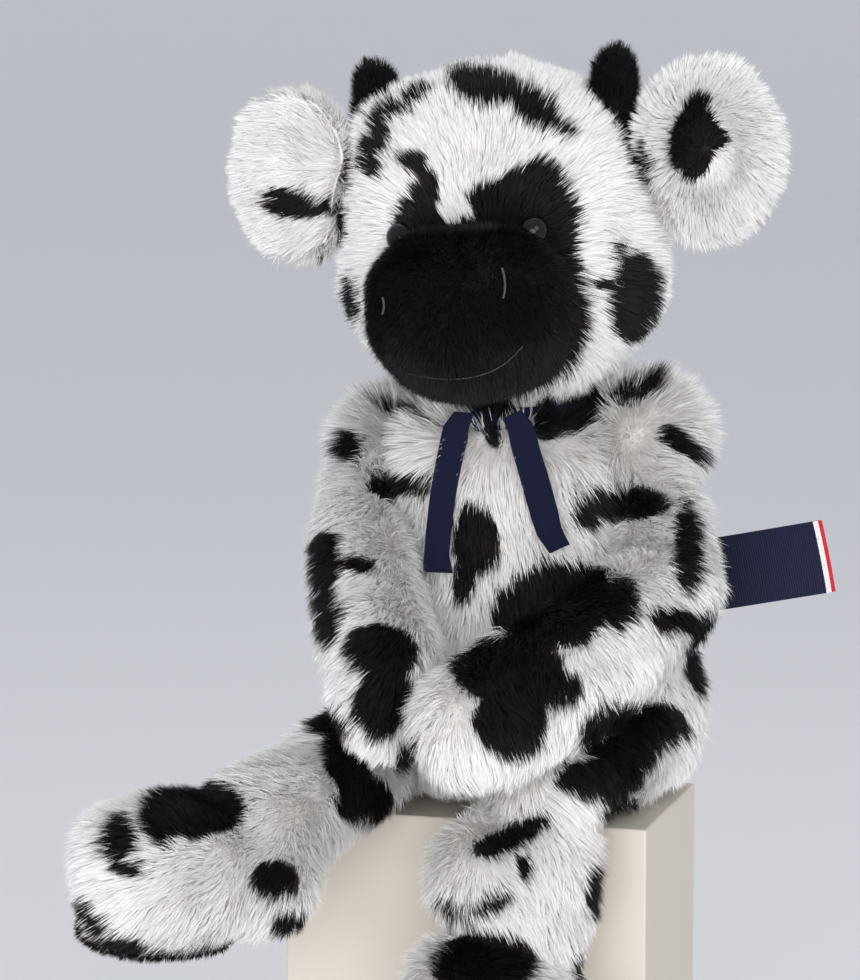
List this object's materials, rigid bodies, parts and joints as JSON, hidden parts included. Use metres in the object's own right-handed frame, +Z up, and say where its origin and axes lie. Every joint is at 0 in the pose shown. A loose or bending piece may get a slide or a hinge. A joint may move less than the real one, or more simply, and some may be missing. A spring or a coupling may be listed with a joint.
{
  "type": "plush cow",
  "caption": "Sitting plush cow with hands in its lap and hanging feet; head, arms, hips, knees, ears and tail move.",
  "frame": {"origin": "middle of the flat seat that the toy sits on, under the torso", "axes": "+Z up, -Y the way the cow faces, +X the cow's left"},
  "size_m": [0.2303, 0.2865, 0.3347],
  "materials": {
    "plush": "long pile",
    "black_plush": "short pile",
    "eye": "polished",
    "washer": "moulded",
    "ribbon": "woven",
    "fibre": "loose fibre",
    "bag": "woven"
  },
  "bodies": {
    "torso": {"torso_skin": "plush", "torso_filling": "fibre", "pellet_bag": "bag", "neck_ribbon": "ribbon"},
    "neck": {"neck_filling": "fibre"},
    "head": {"head_skin": "plush", "head_filling": "fibre", "muzzle_skin": "black_plush", "muzzle_filling": "fibre", "eye_left": "eye", "eye_right": "eye", "eye_washer_left": "washer", "eye_washer_right": "washer", "horn_left_skin": "black_plush", "horn_left_filling": "fibre", "horn_right_skin": "black_plush", "horn_right_filling": "fibre"},
    "ear_left": {"ear_left_back": "plush", "ear_left_front": "plush"},
    "arm_left": {"arm_left_skin": "plush", "arm_left_filling": "fibre"},
    "thigh_left": {"thigh_left_skin": "plush", "thigh_left_filling": "fibre"},
    "shin_left": {"shin_left_skin": "plush", "shin_left_filling": "fibre", "sole_left": "black_plush"},
    "ribbon_end_left": {"ribbon_tail_left": "ribbon"},
    "ear_right": {"ear_right_back": "plush", "ear_right_front": "plush"},
    "arm_right": {"arm_right_skin": "plush", "arm_right_filling": "fibre"},
    "thigh_right": {"thigh_right_skin": "plush", "thigh_right_filling": "fibre"},
    "shin_right": {"shin_right_skin": "plush", "shin_right_filling": "fibre", "sole_right": "black_plush"},
    "ribbon_end_right": {"ribbon_tail_right": "ribbon"},
    "label": {"side_label": "ribbon"},
    "tail": {"tail_cord": "plush", "tail_tuft": "black_plush"}
  },
  "joints": [
    {"name": "neck_turn", "type": "hinge", "parent": "torso", "child": "neck", "pos_m": [-0.004, -0.012, 0.14], "axis": [0, 0, 1], "range_deg": [-30, 30]},
    {"name": "neck_nod", "type": "hinge", "parent": "neck", "child": "head", "pos_m": [-0.004, -0.012, 0.198], "axis": [-1, 0, 0], "range_deg": [0, 20]},
    {"name": "shoulder_left", "type": "hinge", "parent": "torso", "child": "arm_left", "pos_m": [0.04095, -0.00565, 0.121], "axis": [-0.7071, -0.7071, 0], "range_deg": [0, 45]},
    {"name": "shoulder_right", "type": "hinge", "parent": "torso", "child": "arm_right", "pos_m": [-0.04805, -0.00565, 0.121], "axis": [-0.788, 0.6157, 0], "range_deg": [0, 45]},
    {"name": "hip_left", "type": "hinge", "parent": "torso", "child": "thigh_left", "pos_m": [0.038, -0.028, 0.024], "axis": [1, 0, 0], "range_deg": [0, 40]},
    {"name": "hip_right", "type": "hinge", "parent": "torso", "child": "thigh_right", "pos_m": [-0.038, -0.028, 0.024], "axis": [1, 0, 0], "range_deg": [0, 40]},
    {"name": "knee_left", "type": "hinge", "parent": "thigh_left", "child": "shin_left", "pos_m": [0.02719, -0.07359, 0.02024], "axis": [1, 0, 0], "range_deg": [-45, 10]},
    {"name": "knee_right", "type": "hinge", "parent": "thigh_right", "child": "shin_right", "pos_m": [-0.04599, -0.07218, 0.01695], "axis": [1, 0, 0], "range_deg": [-12, 60]},
    {"name": "ear_left_flap", "type": "hinge", "parent": "head", "child": "ear_left", "pos_m": [0.05428, -0.012, 0.20795], "axis": [0, 0, 1], "range_deg": [-15, 15]},
    {"name": "ear_right_flap", "type": "hinge", "parent": "head", "child": "ear_right", "pos_m": [-0.06533, -0.012, 0.19959], "axis": [0, 0, 1], "range_deg": [-15, 15]},
    {"name": "ribbon_end_left_lift", "type": "hinge", "parent": "torso", "child": "ribbon_end_left", "pos_m": [-0.004, -0.0424, 0.1394], "axis": [-1, 0, 0], "range_deg": [0, 20]},
    {"name": "ribbon_end_right_lift", "type": "hinge", "parent": "torso", "child": "ribbon_end_right", "pos_m": [-0.004, -0.0424, 0.1394], "axis": [-1, 0, 0], "range_deg": [0, 20]},
    {"name": "label_swing", "type": "hinge", "parent": "torso", "child": "label", "pos_m": [0.05369, 0.0067, 0.076], "axis": [-0.2079, 0, 0.9781], "range_deg": [0, 50]},
    {"name": "tail_swing", "type": "hinge", "parent": "torso", "child": "tail", "pos_m": [-0.00035, 0.05294, 0.026], "axis": [0, 0, 1], "range_deg": [-20, 20]}
  ]
}
